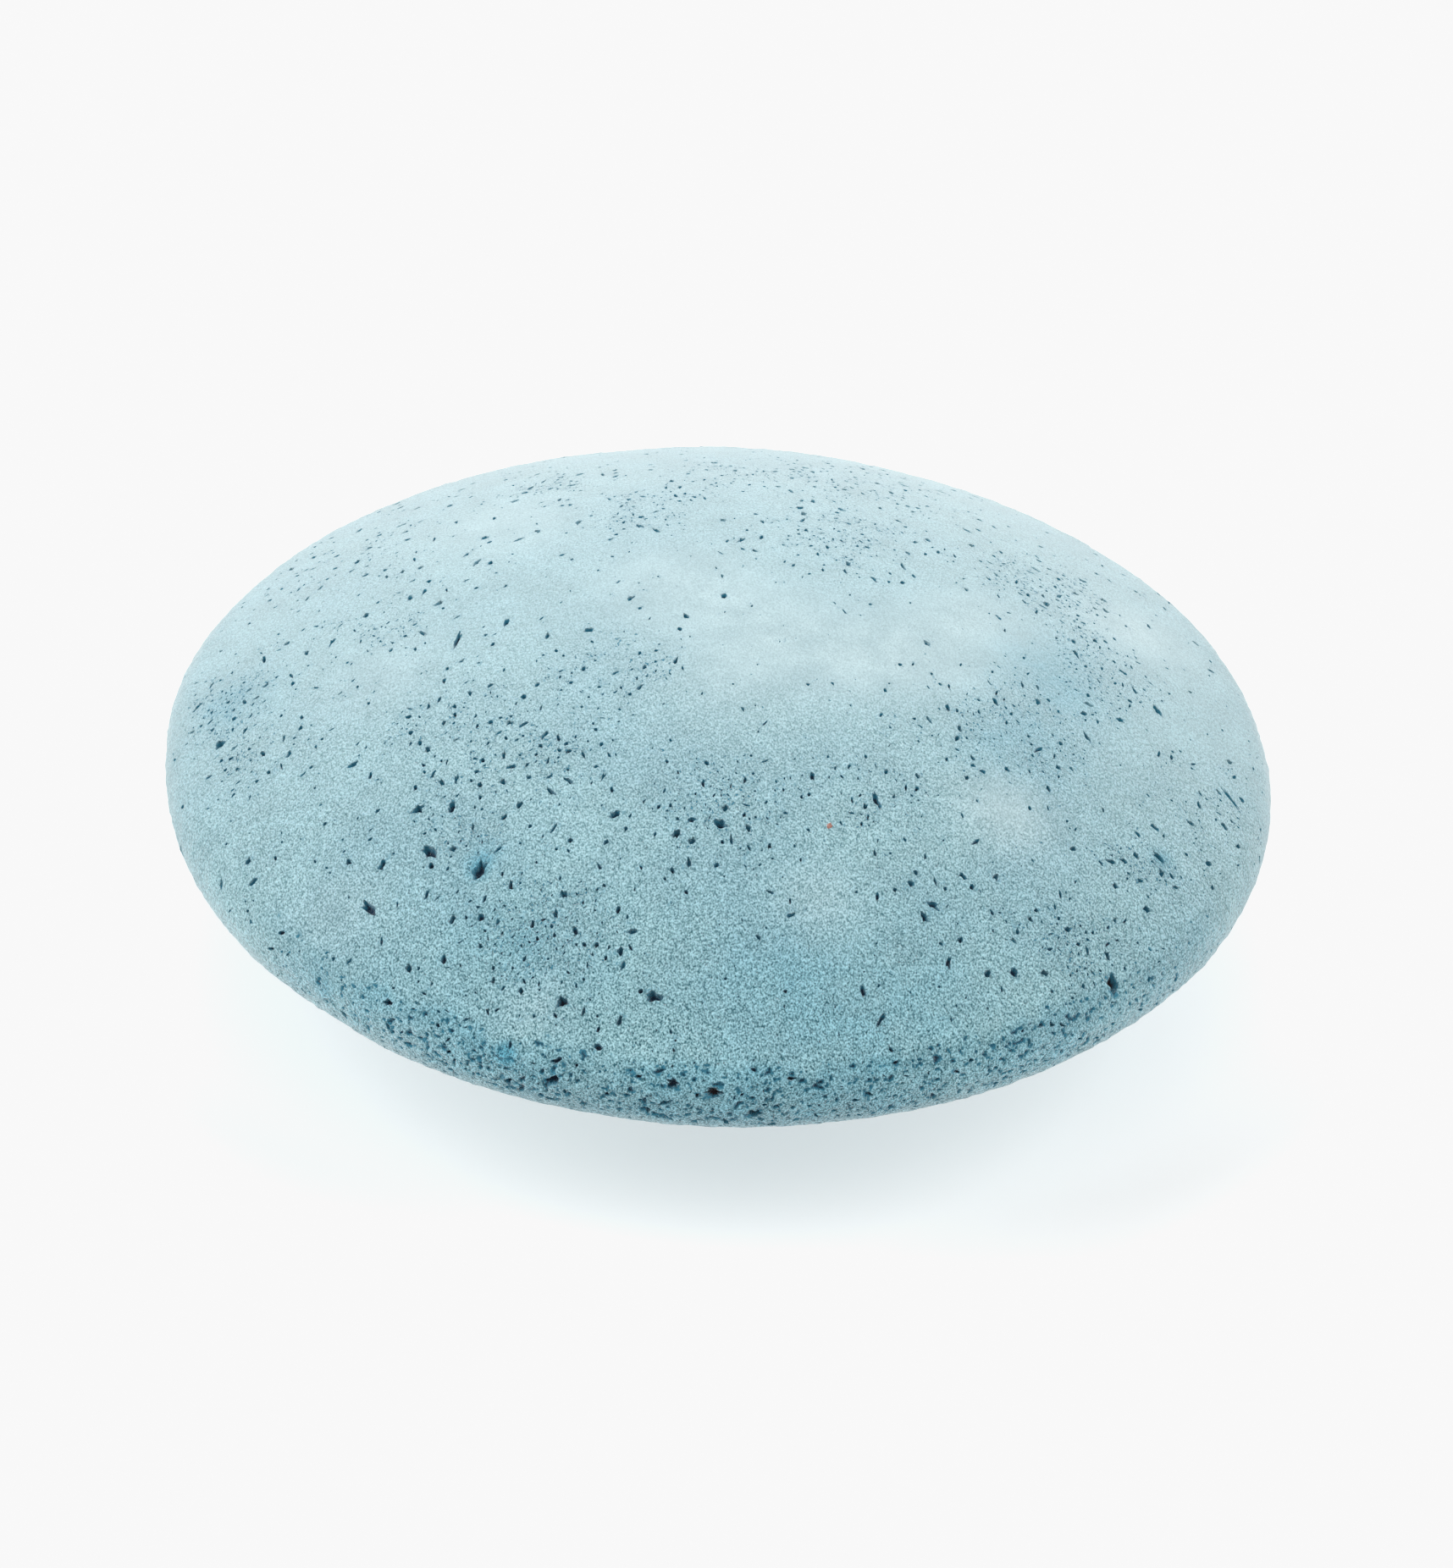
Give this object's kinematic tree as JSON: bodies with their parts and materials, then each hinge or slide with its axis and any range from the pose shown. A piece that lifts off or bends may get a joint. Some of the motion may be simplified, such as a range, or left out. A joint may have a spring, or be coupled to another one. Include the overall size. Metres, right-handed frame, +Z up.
{
  "type": "domed puck",
  "caption": "Lens-shaped disc cast in one piece from pale blue porous mineral, domed above and below, with a rounded rim and a small flat foot to stand on.",
  "frame": {"origin": "middle of the flat foot, on the surface that the puck stands on", "axes": "+Z up along the disc's axis of revolution; +X and +Y lie in the plane of the disc and are alike"},
  "size_m": [0.0762, 0.0762, 0.0254],
  "materials": {
    "porous_mineral": "matte, finely grained, pitted with small dark pores"
  },
  "bodies": {
    "root": {"puck_body": "porous_mineral"}
  },
  "joints": []
}
